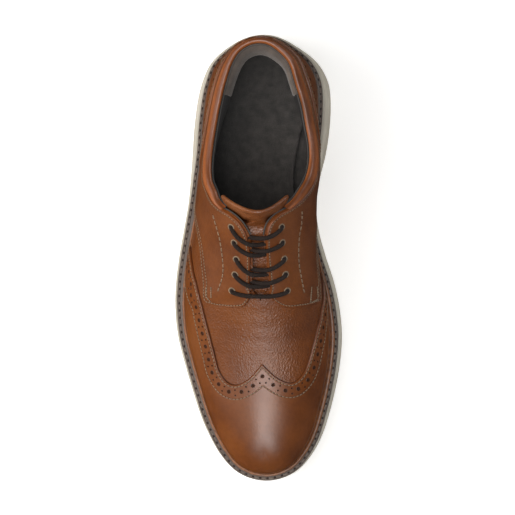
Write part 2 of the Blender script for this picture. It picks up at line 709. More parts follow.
def distance_to(lines, points):
    """Distance from each point to the nearest of some lines."""
    marks = np.concatenate([resample(line, 0.4)[:, :3] for line in lines])
    flat = points.reshape(-1, 3)
    nearest = np.empty(len(flat))
    for i in range(0, len(flat), 4000):
        part = flat[i:i + 4000]
        square = (part**2).sum(1)[:, None] + (marks**2).sum(1)[None] - 2 * part @ marks.T
        nearest[i:i + 4000] = np.sqrt(np.maximum(square.min(1), 0))
    return nearest.reshape(points.shape[:-1])


def clip_grid(field, level, flip):
    """Cells of a grid where a field is above a level, cut along the level. Gives the faces, the
    cuts as (point, point, share), and the cut line's segments."""
    rows, columns = field.shape
    flat = field.ravel()
    faces, cuts, segments, known = [], [], [], {}

    def cut(p, q):
        key = (min(p, q), max(p, q))
        if key not in known:
            known[key] = rows * columns + len(cuts)
            share = (level - flat[key[0]]) / (flat[key[1]] - flat[key[0]])
            cuts.append((key[0], key[1], share))
        return known[key]

    above = flat > level
    touched = above.reshape(rows, columns)
    touched = touched[:-1, :-1] | touched[1:, :-1] | touched[:-1, 1:] | touched[1:, 1:]
    for i, k in zip(*np.nonzero(touched)):
        a = i * columns + k
        corners = (a, a + columns, a + columns + 1, a + 1)
        if flip:
            corners = corners[::-1]
        shape, leaving, entering = [], None, None
        for c in range(4):
            p, q = corners[c], corners[(c + 1) % 4]
            if above[p]:
                shape.append(int(p))
            if above[p] != above[q]:
                crossing = cut(p, q)
                shape.append(crossing)
                if above[p]:
                    leaving = crossing
                else:
                    entering = crossing
        faces.append(tuple(shape))
        if leaving is not None:
            segments.append((leaving, entering))
    return faces, cuts, segments


class Panel:
    """One leather piece on the last: where it lies, its edges, and lines inside its edges."""

    def __init__(self, inside, edges, sides, first, last, thick, base=FIT, top=OVERLAY_TOP):
        self.edges = edges
        self.lift = base + thick
        self.grids = []
        angles = turn(TOPLINE, np.array([first, last]))
        angles = np.linspace(angles[0], angles[1], int((angles[1] - angles[0]) * 85) + 2)
        shares = np.concatenate([[WALL_SHARE, WALL_SHARE + 1e-3], np.linspace(0.1, 1, 76)])
        for side in sides:
            a, v = np.meshgrid(side * angles, shares, indexing="ij")
            a, v = a.copy(), np.where(is_open(a) & (v > top), top, v)
            p = last_point(a, v)
            far = distance_to([edge[:, :3] for edge in edges], p)
            self.grids.append((side, a, v, p, np.where(inside(side, a, v, p), far, -far)))

    def raised(self, a, v, share=1.0):
        return skin(a, v, self.lift * share - EDGE_BURIED * (1 - share))

    def mesh(self, name, material):
        """The skin of the piece with its rounded edge. The UV map holds the distance from the
        edge and a running number for the side."""
        points, faces, near = [], [], []
        start = 0
        for side, a, v, p, field in self.grids:
            quads, cuts, segments = clip_grid(field, EDGE_ROUND, side < 0)
            flat_a, flat_v = a.ravel(), v.ravel()
            body = self.raised(flat_a, flat_v)
            foot = flat_v <= WALL_SHARE
            body[foot] = skin(flat_a[foot], flat_v[foot], -EDGE_BURIED)
            one, two, share = (np.array(c) for c in zip(*cuts))
            ca = flat_a[one] + (flat_a[two] - flat_a[one]) * share
            cv = flat_v[one] + (flat_v[two] - flat_v[one]) * share
            rim, ground = self.raised(ca, cv), last_point(ca, cv)
            normal = last_normal(ca, cv)
            marks = np.concatenate([resample(edge, 0.3)[:, :3] for edge in self.edges])
            nearest = np.array([marks[((marks - g) ** 2).sum(1).argmin()] for g in ground])
            way = nearest - ground
            way = way - normal * (way * normal).sum(1, keepdims=True)
            size = np.linalg.norm(way, axis=1, keepdims=True)
            way = way / np.maximum(size, 1e-6) * np.minimum(size, 1.5 * EDGE_ROUND)
            rows = [rim]
            for k in range(1, EDGE_STEPS + 1):
                bend = math.pi / 2 * k / EDGE_STEPS
                drop = (self.lift + EDGE_BURIED) * (1 - math.cos(bend)) * (k > 0)
                rows.append(rim + way * math.sin(bend) - normal * drop)
            used = set(i for quad in quads for i in quad)
            faces += [tuple(start + i for i in quad) for quad in quads]
            count, base = len(cuts), start + len(body)
            for leaving, entering in segments:
                p0, p1 = leaving - len(body), entering - len(body)
                for k in range(EDGE_STEPS):
                    low, high = base + k * count, base + (k + 1) * count
                    faces.append((low + p1, low + p0, high + p0, high + p1))
            points += [body] + rows
            near.append(field.ravel())
            for k in range(EDGE_STEPS + 1):
                near.append(np.full(count, EDGE_ROUND * (1 - k / EDGE_STEPS)))
            start += len(body) + count * (EDGE_STEPS + 1)
        points, near = np.concatenate(points), np.concatenate(near)
        keep = np.zeros(len(points), bool)
        keep[[i for face in faces for i in face]] = True
        renumber = np.cumsum(keep) - 1
        faces = [tuple(int(renumber[i]) for i in face) for face in faces]
        uv = np.stack([near[keep] * 0.01, np.zeros(keep.sum())], -1)
        return make_piece(name, points[keep], faces, material, uv, smooth=60)

    def line(self, inset, edges=None, within=None, shortest=6.0):
        """Lines at a distance inside some of the edges, lying on the piece, with normals."""
        lines = []
        for side, a, v, p, field in self.grids:
            chosen = field
            if edges is not None:
                far = distance_to([self.edges[k] for k in edges], p)
                chosen = np.where(field > 0, far, -far)
            _, cuts, segments = clip_grid(chosen, inset, side < 0)
            if not cuts:
                continue
            one, two, share = (np.array(c) for c in zip(*cuts))
            blend = lambda g: g.ravel()[one] + (g.ravel()[two] - g.ravel()[one]) * share
            ca, cv, whole = blend(a), blend(v), blend(field)
            on = np.concatenate([self.raised(ca, cv), last_normal(ca, cv)], -1)
            keep = whole > 0.6 * inset if edges is not None else whole > 0
            if within is not None:
                keep &= within(on)
            following = dict(segments)
            offset = a.size
            starts = [s for s in following if s not in set(following.values())]
            for s in starts or list(following)[:1]:
                run, seen = [], set()
                while s is not None and s not in seen:
                    seen.add(s)
                    if keep[s - offset]:
                        run.append(on[s - offset])
                    elif run:
                        lines.append(np.array(run))
                        run = []
                    s = following.get(s)
                if run:
                    lines.append(np.array(run))
        return [line for line in joined(lines) if len(line) > 2 and length_of(line) > shortest]


def length_of(line):
    return np.linalg.norm(np.diff(line[:, :3], axis=0), axis=1).sum()


def joined(lines, gap=2.0):
    """Lines whose ends meet made into one."""
    lines = list(lines)
    merged = True
    while merged:
        merged = False
        for i in range(len(lines)):
            for j in range(len(lines)):
                if i != j and np.linalg.norm(lines[i][-1, :3] - lines[j][0, :3]) < gap:
                    lines[i] = np.concatenate([lines[i], lines[j]])
                    lines.pop(j)
                    merged = True
                    break
                if i < j and np.linalg.norm(lines[i][-1, :3] - lines[j][-1, :3]) < gap:
                    lines[i] = np.concatenate([lines[i], lines[j][::-1]])
                    lines.pop(j)
                    merged = True
                    break
                if i < j and np.linalg.norm(lines[i][0, :3] - lines[j][0, :3]) < gap:
                    lines[i] = np.concatenate([lines[i][::-1], lines[j]])
                    lines.pop(j)
                    merged = True
                    break
            if merged:
                break
    return lines


def edge_in_plan(rows, side, keep=None):
    """An overlay's plan edge on the last, as points followed by angle and rib share."""
    plan = in_plan(rows)
    a, v = find_on_last(plan, [0, 1], side, 0.8)
    return placed(a, v, keep, side)


def edge_in_side(rows, side, keep=None, more=0.0):
    line = in_side(rows, more)
    a, v = find_on_last(line, [1, 2], side, 0.5)
    return placed(a, v, keep, side)


def placed(a, v, keep, side):
    line = last_point(a, v)
    if keep is not None:
        line = line[keep(side, line)]
    return line


# Wing tip: the cap over the toe, peaked on the vamp, with wings that run back along both
# sides to the welt.
WING = {
    "lateral": [
        # at, across
        (0.523, -0.400), (0.470, -0.375), (0.444, -0.355), (0.402, -0.327), (0.359, -0.298),
        (0.322, -0.272), (0.276, -0.242), (0.250, -0.222), (0.228, -0.178), (0.222, -0.120),
        (0.235, -0.050), (0.257, 0.005), (0.269, 0.032),
    ],
    "medial": [
        (0.430, 0.383), (0.388, 0.374), (0.358, 0.358), (0.322, 0.335), (0.264, 0.291),
        (0.236, 0.245), (0.226, 0.191), (0.237, 0.120), (0.257, 0.060), (0.269, 0.032),
    ],
}
WING_SIDE = {
    "lateral": [
        # at, up
        (0.276, 0.478), (0.322, 0.497), (0.359, 0.510), (0.402, 0.520), (0.444, 0.505),
        (0.470, 0.460), (0.500, 0.360), (0.525, 0.220),
    ],
    "medial": [
        (0.264, 0.461), (0.322, 0.453), (0.358, 0.435), (0.388, 0.406), (0.420, 0.360),
        (0.450, 0.300), (0.480, 0.200),
    ],
}
wing_plan = {side: in_plan(WING[side]) for side in SIDES}
wing_front = np.concatenate([
    [[-BALL_WIDTH, -LENGTH], [BALL_WIDTH, -LENGTH], [BALL_WIDTH, wing_plan["medial"][0, 1]]],
    wing_plan["medial"], wing_plan["lateral"][::-1],
    [[-BALL_WIDTH, wing_plan["lateral"][0, 1]]],
])
wing_below = {}
for side in SIDES:
    line = in_side(WING_SIDE[side])
    wing_below[side] = np.concatenate([line, [[line[-1, 0], -LENGTH], [line[0, 0], -LENGTH]]])


def side_name(side):
    return "lateral" if side < 0 else "medial"


def in_wing(side, a, v, p):
    low = wing_below[side_name(side)]
    return encloses(wing_front, p[..., 0], p[..., 1]) | encloses(low, p[..., 1], p[..., 2])


wing_edges = []
for name, side in SIDES.items():
    low = wing_below[name]
    wing_edges.append(edge_in_plan(WING[name], side, lambda s, p, low=low: ~(
        encloses(low, p[:, 1], p[:, 2] + 0.3))))
    wing_edges.append(edge_in_side(WING_SIDE[name], side, lambda s, p: ~(
        encloses(wing_front, p[:, 0], p[:, 1] + 0.3))))
wing = Panel(in_wing, wing_edges, (-1, 1), 0.075, 0.56, OVERLAY)


EDGE_DARK = (0.3, 0.24, 0.2)
EDGE_BRIGHT = (1.2, 1.1, 0.9)


def overlay_leather(name, light, mid, dark, roughness, channels, grain, edge=EDGE_DARK):
    """The upper's leather with a cut edge and a soft channel under each stitch row."""
    material = leather_look(name, light, mid, dark, roughness, grain)
    tree = material.node_tree
    shader = tree.nodes["Principled BSDF"]
    place = add_node(tree, "ShaderNodeUVMap", uv_map="UVMap")
    parts = add_node(tree, "ShaderNodeSeparateXYZ")
    tree.links.new(place.outputs["UV"], parts.inputs[0])
    inset = parts.outputs["X"]
    tone = ramp(tree, inset, [(0.0, edge), (0.003, tuple(0.5 * c + 0.4 for c in edge)),
                              (0.0065, (1.1, 1.06, 1.0)), (0.012, (0.95, 0.93, 0.92)),
                              (0.05, (1, 1, 1))])
    mixed = add_node(tree, "ShaderNodeMix", data_type="RGBA", blend_type="MULTIPLY")
    mixed.inputs[0].default_value = 1.0
    before = shader.inputs["Base Color"].links[0].from_socket
    tree.links.new(before, mixed.inputs[6])
    tree.links.new(tone, mixed.inputs[7])
    tree.links.new(mixed.outputs[2], shader.inputs["Base Color"])
    if channels:
        stops = [(0.0, (1, 1, 1))]
        for place_mm in channels:
            at = place_mm * 0.01
            stops += [(at - 0.006, (1, 1, 1)), (at, (0, 0, 0)), (at + 0.006, (1, 1, 1))]
        height = ramp(tree, inset, stops)
        before = shader.inputs["Normal"].links[0].from_socket
        tree.links.new(bump(tree, height, 0.5, 0.0004, before), shader.inputs["Normal"])
    return material


wing_leather = overlay_leather("wing_tip_look", TAN_LIGHT, TAN, TAN_DARK, 0.36, (1.5, 9.6), 0.22)
wing_tip = wing.mesh("wing_tip_look", wing_leather)
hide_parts("wing_tip")

# Heel counter: the stiffened piece cupping the heel, laid over the ends of the quarters.
COUNTER = 1.9
COUNTER_SIDE = [
    # at, up
    (0.688, 0.240), (0.697, 0.360), (0.712, 0.470), (0.740, 0.545), (0.790, 0.585),
    (0.850, 0.620), (0.910, 0.655), (1.020, 0.700),
]


def counter_outline(more):
    line = in_side(COUNTER_SIDE, more)
    return np.concatenate([line, [[LENGTH, line[-1, 1]], [LENGTH, -LENGTH],
                                  [line[0, 0], -LENGTH]]])


def in_counter(side, a, v, p):
    return encloses(counter_outline(0.0), p[..., 1], p[..., 2])


counter_edges = [edge_in_side(COUNTER_SIDE, side, lambda s, p: p[:, 1] < length_at(TOPLINE, math.pi))
                 for side in (-1, 1)]
counter = Panel(in_counter, counter_edges, (-1, 1), 0.66, TOPLINE[-1, 0], COUNTER)
counter_leather = overlay_leather("heel_counter_look", TAN_LIGHT, TAN, TAN_DARK, 0.4, (1.5,), 0.4,
                                  EDGE_BRIGHT)
heel_counter = counter.mesh("heel_counter_look", counter_leather)
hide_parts("heel_counter")

# Quarters: the two back pieces with the eyelet facings, stitched over the vamp.
QUARTER = {
    "lateral": [
        # at, across
        (0.432, -0.0215), (0.420, -0.028), (0.405, -0.046), (0.395, -0.074), (0.392, -0.135),
        (0.394, -0.204), (0.398, -0.257), (0.403, -0.297), (0.412, -0.318),
    ],
    "medial": [
        (0.432, 0.0745), (0.420, 0.083), (0.408, 0.099), (0.398, 0.131), (0.392, 0.173),
        (0.392, 0.234), (0.397, 0.299), (0.401, 0.348), (0.406, 0.372),
    ],
}
QUARTER_SIDE = {
    "lateral": [
        # at, up
        (0.400, 0.548), (0.414, 0.553), (0.458, 0.586), (0.517, 0.600), (0.560, 0.575),
        (0.600, 0.480), (0.628, 0.360), (0.650, 0.220),
    ],
    "medial": [
        (0.400, 0.430), (0.450, 0.435), (0.500, 0.435), (0.550, 0.420), (0.590, 0.375),
        (0.625, 0.300), (0.650, 0.220),
    ],
}
COLLAR_STARTS = 0.606


def quarter_outlines(name):
    side = SIDES[name]
    plan, low = in_plan(QUARTER[name]), in_side(QUARTER_SIDE[name])
    middle = 0.033 * BALL_WIDTH
    plan = np.concatenate([
        [[middle, LENGTH], [middle, plan[0, 1] + 3]], plan,
        [[side * BALL_WIDTH, plan[-1, 1]], [side * BALL_WIDTH, LENGTH]],
    ])
    above = np.concatenate([
        [[-LENGTH, low[0, 1]]], low,
        [[low[-1, 0], -LENGTH], [LENGTH, -LENGTH], [LENGTH, LENGTH], [-LENGTH, LENGTH]],
    ])
    return plan, above


quarters = {}
for name, side in SIDES.items():
    plan, above = quarter_outlines(name)
    clear = counter_outline(2 * FIT)

    def in_quarter(side, a, v, p, plan=plan, above=above):
        return (
            encloses(plan, p[..., 0], p[..., 1]) & encloses(above, p[..., 1], p[..., 2])
            & ~encloses(clear, p[..., 1], p[..., 2]) & (v < OVERLAY_TOP + 1e-6)
        )

    top_angles = side * np.linspace(throat_angle + 0.02, math.pi, 300)
    facing = placed(top_angles, np.full(300, OVERLAY_TOP),
                    lambda s, p: p[:, 1] > (QUARTER[side_name(s)][0][0] - 0.5) * LENGTH, side)
    front = edge_in_plan(QUARTER[name], side,
                         lambda s, p: encloses(above, p[:, 1], p[:, 2] + 0.3))
    seam = edge_in_side(QUARTER_SIDE[name], side,
                        lambda s, p: encloses(plan, p[:, 0], p[:, 1] + 0.3))
    behind = edge_in_side(COUNTER_SIDE, side, None, 2 * FIT)
    back = last_point(side * math.pi, np.linspace(0.5, OVERLAY_TOP, 60))
    back = back[back[:, 2] > 0.64 * INSTEP_HEIGHT]
    panel = Panel(in_quarter, [facing, front, seam, behind, back], (side,), 0.38,
                  TOPLINE[-1, 0], OVERLAY)
    leather = overlay_leather(f"quarter_{name}_look", TAN_LIGHT, TAN, TAN_DARK, 0.42, (1.5,), 0.6,
                              EDGE_BRIGHT)
    piece = panel.mesh(f"quarter_{name}_look", leather)
    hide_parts(f"quarter_{name}")
    quarters[name] = panel

# Insole: a foam footbed under a dark woven cover, its edge turned up a little against the
# lining. Nothing is printed on it.
INSOLE_THICK = 4.5
INSOLE_GREY = (0.070, 0.061, 0.055)
INSOLE_DARK = (0.020, 0.018, 0.017)
insole_cloth, tree, shader = new_material("insole_look", 0.85, INSOLE_GREY)
place = add_node(tree, "ShaderNodeTexCoord")
weave = []
for way in ("X", "Y"):
    wave = add_node(tree, "ShaderNodeTexWave", Scale=420, Distortion=4, bands_direction=way)
    wave.inputs["Detail Scale"].default_value = 3
    tree.links.new(place.outputs["Object"], wave.inputs["Vector"])
    weave.append(wave.outputs["Fac"])
crossed = add_node(tree, "ShaderNodeMath", operation="MULTIPLY")
tree.links.new(weave[0], crossed.inputs[0])
tree.links.new(weave[1], crossed.inputs[1])
spread = add_node(tree, "ShaderNodeSeparateXYZ")
tree.links.new(place.outputs["Object"], spread.inputs[0])
worn = add_node(tree, "ShaderNodeMapRange")
worn.inputs["From Min"].default_value = -0.03
worn.inputs["From Max"].default_value = 0.02
tree.links.new(spread.outputs["X"], worn.inputs["Value"])
tone = ramp(tree, worn.outputs["Result"], [(0.0, INSOLE_DARK), (0.55, INSOLE_GREY),
                                           (1.0, INSOLE_GREY)])
fleck = ramp(tree, crossed.outputs[0], [(0.05, (0.75, 0.75, 0.75)), (0.8, (1.2, 1.2, 1.2))])
mixed = add_node(tree, "ShaderNodeMix", data_type="RGBA", blend_type="MULTIPLY")
mixed.inputs[0].default_value = 1.0
tree.links.new(tone, mixed.inputs[6])
tree.links.new(fleck, mixed.inputs[7])
rubbed = ramp(tree, object_noise(tree, 190, 6), [(0.3, (0.6, 0.6, 0.6)), (0.7, (1.3, 1.3, 1.3))])
speckled = add_node(tree, "ShaderNodeMix", data_type="RGBA", blend_type="MULTIPLY")
speckled.inputs[0].default_value = 1.0
tree.links.new(mixed.outputs[2], speckled.inputs[6])
tree.links.new(rubbed, speckled.inputs[7])
tree.links.new(speckled.outputs[2], shader.inputs["Base Color"])
tree.links.new(bump(tree, crossed.outputs[0], 0.7, 0.0004), shader.inputs["Normal"])
shader.inputs["Sheen Weight"].default_value = 0.15

INSOLE_LEVELS = [
    # inset from the wall, height, share of the waist cut
    (0.4, 0.0, 0), (0.0, 0.5, 0), (0.0, 1.2, 0), (0.3, 1.3, 1), (0.0, 3.7, 1), (0.4, 4.4, 1),
    (1.1, 4.6, 1), (2.2, 4.4, 1), (4.5, 3.9, 1), (9.0, 3.7, 1),
]
WAIST_CUT = 7.5


def waist_cut(a):
    """How far the footbed stops short of the medial wall at the waist."""
    at = length_at(OUTLINE, a) / LENGTH + 0.5
    return np.where(a > 0, WAIST_CUT * np.exp(-(((at - 0.7) / 0.13) ** 2)), 0.0)


levels = []
for inset, up, share in INSOLE_LEVELS:
    out = -WALL - 2 * FIT - inset - share * waist_cut(around_angles)
    level = feather_edge(around_angles, out)
    level[:, 2] = seat(level[:, 1]) + 2 * FIT + up * INSOLE_THICK / 4.5
    levels.append(level)
points, faces = loop_stack(levels)
insole = make_piece("insole_look", points, faces, insole_cloth, smooth=50)
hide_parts("insole")

# Collar: a padded roll of thin calf folded over foam round the top edge, darker where it has
# been handled, with the grey edge of the lining inside it.
COLLAR_WIDTH = 6.0
COLLAR_HEIGHT = 11.0
COLLAR_SECTION = np.array([
    # out, up
    (-0.36, 0.0), (0.27, 0.0), (0.42, 0.35), (0.36, 0.7), (0.16, 0.93), (-0.1, 1.0),
    (-0.34, 0.92), (-0.44, 0.6),
])
COLLAR_GROWTH = np.array([
    # at, size, height
    (0.606, 0.8, 0.2), (0.625, 0.92, 0.52), (0.645, 0.97, 0.82), (0.68, 1.0, 1.0),
    (0.88, 1.0, 1.0), (0.93, 0.9, 1.0), (0.962, 0.84, 1.0),
])
HEEL_OVERHANG = 3.0
COLLAR_TAN = (0.42, 0.120, 0.030)
collar_leather = leather_look("collar_look", COLLAR_TAN, COLLAR_TAN, TAN, 0.36, 0.5)
tree = collar_leather.node_tree
shader = tree.nodes["Principled BSDF"]
place = add_node(tree, "ShaderNodeUVMap", uv_map="UVMap")
parts = add_node(tree, "ShaderNodeSeparateXYZ")
tree.links.new(place.outputs["UV"], parts.inputs[0])
band = ramp(tree, parts.outputs["Y"], [
    (0.0, (0.5, 0.5, 0.5)), (0.2, (0.7, 0.65, 0.6)), (0.31, (1, 1, 1)), (0.4, (0.85, 0.85, 0.85)),
    (0.5, (0.5, 0.5, 0.54)), (0.6, (0.5, 0.5, 0.54)), (0.68, (0.9, 0.9, 0.9)),
    (0.76, (1.15, 1.15, 1.15)), (0.86, (0.6, 0.55, 0.5)),
])
mixed = add_node(tree, "ShaderNodeMix", data_type="RGBA", blend_type="MULTIPLY")
mixed.inputs[0].default_value = 1.0
before = shader.inputs["Base Color"].links[0].from_socket
tree.links.new(before, mixed.inputs[6])
tree.links.new(band, mixed.inputs[7])
tree.links.new(mixed.outputs[2], shader.inputs["Base Color"])


def collar_point(a, out, up):
    """A point of the collar's section, in shares of its width and height."""
    at = np.clip(length_at(TOPLINE, a) / LENGTH + 0.5, COLLAR_GROWTH[0, 0], COLLAR_GROWTH[-1, 0])
    size = cubic(COLLAR_GROWTH[:, 0], COLLAR_GROWTH[:, 1], at)
    rise = cubic(COLLAR_GROWTH[:, 0], COLLAR_GROWTH[:, 2], at)
    back = np.clip((length_at(TOPLINE, a) / LENGTH + 0.5 - 0.83) / 0.13, 0, 1) ** 2
    wide = (COLLAR_WIDTH * size * out + HEEL_OVERHANG * back * np.clip(up, 0, 1))[..., None]
    tall = (2 * FIT + COLLAR_HEIGHT * rise * up)[..., None]
    return last_point(a, 1.0) + last_normal(a, 1.0) * wide + top_direction(a) * tall


def closed_curve(points, count):
    """A smooth closed line through points, as that many points."""
    wrapped = np.concatenate([points[-2:], points, points[:3]])
    index = np.arange(-2, len(points) + 3, dtype=float)
    fine = np.arange(count) * len(points) / count
    return np.stack([cubic(index, wrapped[:, k], fine) for k in (0, 1)], -1)


def swept(rings, uv_rows=None):
    """Points and faces of closed rings joined one after another, with rounded-off ends."""
    count = len(rings[0])
    points, faces = [], []
    ends = [rings[0].mean(0)], [rings[-1].mean(0)]
    for r in rings:
        points.append(r)
    points = np.concatenate(points + [np.array(ends[0]), np.array(ends[1])])
    for j in range(len(rings) - 1):
        for k in range(count):
            m = (k + 1) % count
            faces.append((j * count + k, (j + 1) * count + k, (j + 1) * count + m, j * count + m))
    first, last = len(points) - 2, len(points) - 1
    base = (len(rings) - 1) * count
    for k in range(count):
        m = (k + 1) % count
        faces.append((first, k, m))
        faces.append((last, base + m, base + k))
    return points, faces


section = closed_curve(COLLAR_SECTION, 40)
collar_start = float(turn(TOPLINE, COLLAR_GROWTH[0, 0]))
collar_angles = np.linspace(collar_start, 2 * math.pi - collar_start, 360)
signed = (collar_angles + math.pi) % (2 * math.pi) - math.pi
rings = []
for a in signed:
    rings.append(collar_point(np.full(40, a), section[:, 0], section[:, 1]))
points, faces = swept(rings)
uv = np.zeros((len(points), 2))
uv[:-2, 0] = np.repeat(np.arange(360) / 360, 40)
uv[:-2, 1] = np.tile(np.arange(40) / 40, 360)
collar = make_piece("collar_look", points, faces, collar_leather, uv, smooth=70)
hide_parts("collar")

# Lining edge: the grey folded edge of the lining, seen as a thin line inside the collar and
# along the facings.
EDGE_GREY = (0.060, 0.052, 0.046)
edge_cloth, tree, shader = new_material("lining_edge_look", 0.8, EDGE_GREY)
tree.links.new(bump(tree, object_noise(tree, 1500, 2), 0.5, 0.0003), shader.inputs["Normal"])


def tube(path, radius, sides=8, flat=1.0, up=None):
    """Rings round a path of points, with the ends drawn in."""
    path = np.asarray(path, float)
    ahead = np.gradient(path, axis=0)
    ahead = ahead / np.linalg.norm(ahead, axis=1, keepdims=True)
    above = np.tile([0, 0, 1.0], (len(path), 1)) if up is None else up
    across = np.cross(ahead, above)
    across = across / np.linalg.norm(across, axis=1, keepdims=True)
    above = np.cross(across, ahead)
    radius = np.broadcast_to(radius, len(path)).astype(float)
    turns = np.arange(sides) * 2 * math.pi / sides
    rings = []
    for k in range(len(path)):
        ring_points = (np.cos(turns)[:, None] * across[k] + np.sin(turns)[:, None] * above[k] * flat)
        rings.append(path[k] + ring_points * radius[k])
    return rings


EDGE_LINE = (-0.54, 0.78)
FACING_LINE_FROM = 0.548
edge_lines = [collar_point(signed, np.full(360, EDGE_LINE[0]), np.full(360, EDGE_LINE[1]))]
for side in (-1, 1):
    angles = side * np.linspace(turn(TOPLINE, FACING_LINE_FROM), collar_start + 0.03, 90)
    edge_lines.append(last_point(angles, 1.0) - last_normal(angles, 1.0) * 1.0
                      + top_direction(angles) * 0.5)
points, faces, start = [], [], 0
for line in edge_lines:
    tube_points, tube_faces = swept(tube(line, 0.5))
    points.append(tube_points)
    faces += [tuple(i + start for i in face) for face in tube_faces]
    start += len(tube_points)
lining_edge = make_piece("lining_edge", np.concatenate(points), faces, edge_cloth, smooth=80)

# Collar lining: black cloth over the foam of the collar and down the wall, padded round the
# heel, with a band of brushed suede sewn over it there that ends in a short step.
LINING_FOLD = [
    # out, up, share of the heel pad
    (-0.40, 0.86, 0.0), (-0.56, 0.80, 0.0), (-0.72, 0.60, 0.25), (-0.80, 0.30, 0.5),
    (-0.78, 0.00, 0.7),
]
LINING_WALL = [
    # rib share, share of the heel pad
    (0.93, 0.85), (0.85, 1.0), (0.72, 1.0), (0.55, 1.05), (0.35, 1.1), (0.12, 1.15),
]
HEEL_PAD = 5.5
GRIP_FROM = 0.853
GRIP_ROWS = 34
SUEDE_GREY = (0.150, 0.112, 0.086)


def lining_rows(a, proud=0.0):
    """Points down the lining from the collar's leather to the insole, at each angle."""
    at = length_at(TOPLINE, a) / LENGTH + 0.5
    side_share = np.where(a < 0, 1.0, 0.6 + 0.4 * np.clip((at - 0.9) / 0.06, 0, 1))
    pad = HEEL_PAD * side_share * np.clip((at - 0.72) / 0.12, 0, 1) ** 1.5
    rows = []
    for out, up, share in LINING_FOLD:
        p = collar_point(a, np.full(a.shape, out), np.full(a.shape, up))
        rows.append(p - last_normal(a, 1.0) * (pad * share + proud * min(share * 4 + 0.1, 1))[..., None])
    for v, share in LINING_WALL:
        inward = WALL + 0.3 + pad * share + proud
        rows.append(last_point(a, v) - last_normal(a, v) * inward[..., None])
    rows = np.array(rows)
    index = np.arange(len(rows), dtype=float)
    fine = np.linspace(0, len(rows) - 1, 56)
    dense = [[cubic(index, rows[:, k, c], fine) for c in range(3)] for k in range(len(a))]
    return np.array(dense).transpose(0, 2, 1)


lining_points = lining_rows(signed)
collar_lining = make_piece("collar_lining", lining_points.reshape(-1, 3),
                           grid_faces(360, 56, 0, False), lining_cloth, smooth=80)
suede, tree, shader = new_material("heel_grip_look", 0.95, SUEDE_GREY)
tone = ramp(tree, object_noise(tree, 160, 6), [(0.3, (0.085, 0.062, 0.047)), (0.7, SUEDE_GREY)])
tree.links.new(tone, shader.inputs["Base Color"])
tree.links.new(bump(tree, object_noise(tree, 1800, 3), 0.6, 0.0004), shader.inputs["Normal"])
shader.inputs["Sheen Weight"].default_value = 0.4
start = float(turn(TOPLINE, GRIP_FROM))
angles = np.linspace(start, 2 * math.pi - start, 160)
a = (angles + math.pi) % (2 * math.pi) - math.pi
from_end = np.minimum(angles - start, 2 * math.pi - start - angles) * 70
proud = 0.75 * np.clip(from_end / 0.6, 0, 1)
grip_points = lining_rows(a, proud)[:, 2:GRIP_ROWS]
lowest = grip_points.shape[1]
grip_points[:, -1] = lining_rows(a)[:, 2:GRIP_ROWS][:, -1]
grip = make_piece("heel_grip", grip_points.reshape(-1, 3), grid_faces(160, lowest, 0, False),
                  suede, smooth=60)

# Tongue: soft leather folded over foam, lying under the facings and standing up in a rolled
# edge at the opening.
TONGUE_THICK = 2.6
TONGUE_DEPTH = WALL + 4 * FIT
TONGUE_UNDER = [0.37, 0.395, 0.425, 0.465, 0.505, 0.54, 0.563]
TONGUE_RIB_SHARES = np.array([0.83, 0.885, 0.945, 1.0])
TONGUE_TOP = [
    # at, up, side at, side up, lateral, medial
    (0.576, 0.995, 0.582, 0.860, -0.165, 0.195), (0.581, 1.040, 0.597, 0.870, -0.163, 0.180),
    (0.587, 1.085, 0.612, 0.915, -0.170, 0.184), (0.591, 1.122, 0.626, 0.965, -0.186, 0.198),
]
MIDDLE = 0.033
rows = []
for at in TONGUE_UNDER:
    a = float(turn(TOPLINE, at))
    halves = []
    for side in (-1, 1):
        half = last_point(side * a, TONGUE_RIB_SHARES)
        half = half - last_normal(side * a, TONGUE_RIB_SHARES) * TONGUE_DEPTH
        if a < throat_angle:
            half[-1] = last_point(a, 1.0) - np.array([0, 0, TONGUE_DEPTH])
            half[-1, 0] += side
        halves.append(half)
    rows.append(np.concatenate([halves[0], halves[1][::-1]]))
ACROSS = np.array([-1, -0.72, -0.42, -0.14, 0.14, 0.42, 0.72, 1])
for at, up, side_at, side_up, lateral, medial in TONGUE_TOP:
    q = np.abs(ACROSS) ** 1.8
    wide = np.where(ACROSS < 0, MIDDLE - lateral, medial - MIDDLE)
    row = np.stack([
        (MIDDLE + ACROSS * wide) * BALL_WIDTH,
        (at + (side_at - at) * q - 0.5) * LENGTH,
        (up + (side_up - up) * q) * INSTEP_HEIGHT,
    ], -1)
    for side in (-1, 1):
        mine = (ACROSS * side) > 0
        a, v = find_on_last(row[mine][:, :2], [0, 1], side, 0.85)
        above = last_point(a, v)
        miss = np.hypot(*(above - row[mine])[:, :2].T)
        slope = np.maximum(last_normal(a, v)[:, 2], 0.35)
        lowered = np.minimum(row[mine][:, 2], above[:, 2] - (TONGUE_DEPTH + 3) / slope)
        row[mine, 2] = np.where(miss < 4, lowered, row[mine][:, 2])
    rows.append(row)
rows = np.array(rows)
long_steps, cross_steps = 90, 60
index = np.arange(len(rows), dtype=float)
fine = np.linspace(0, len(rows) - 1, long_steps)
dense = np.stack([[cubic(index, rows[:, k, c], fine) for k in range(8)] for c in range(3)], -1)
dense = dense.transpose(1, 0, 2)
index = np.arange(8, dtype=float)
fine = np.linspace(0, 7, cross_steps)
cloth = np.stack([[cubic(index, dense[j, :, c], fine) for j in range(long_steps)]
                  for c in range(3)], -1)
across = np.gradient(cloth, axis=1)
along = np.gradient(cloth, axis=0)
normal = np.cross(across, along)
normal = normal / np.linalg.norm(normal, axis=-1, keepdims=True)
top = cloth
below = cloth - normal * TONGUE_THICK
loop = [(j, 0) for j in range(long_steps)] + [(long_steps - 1, k) for k in range(1, cross_steps)]
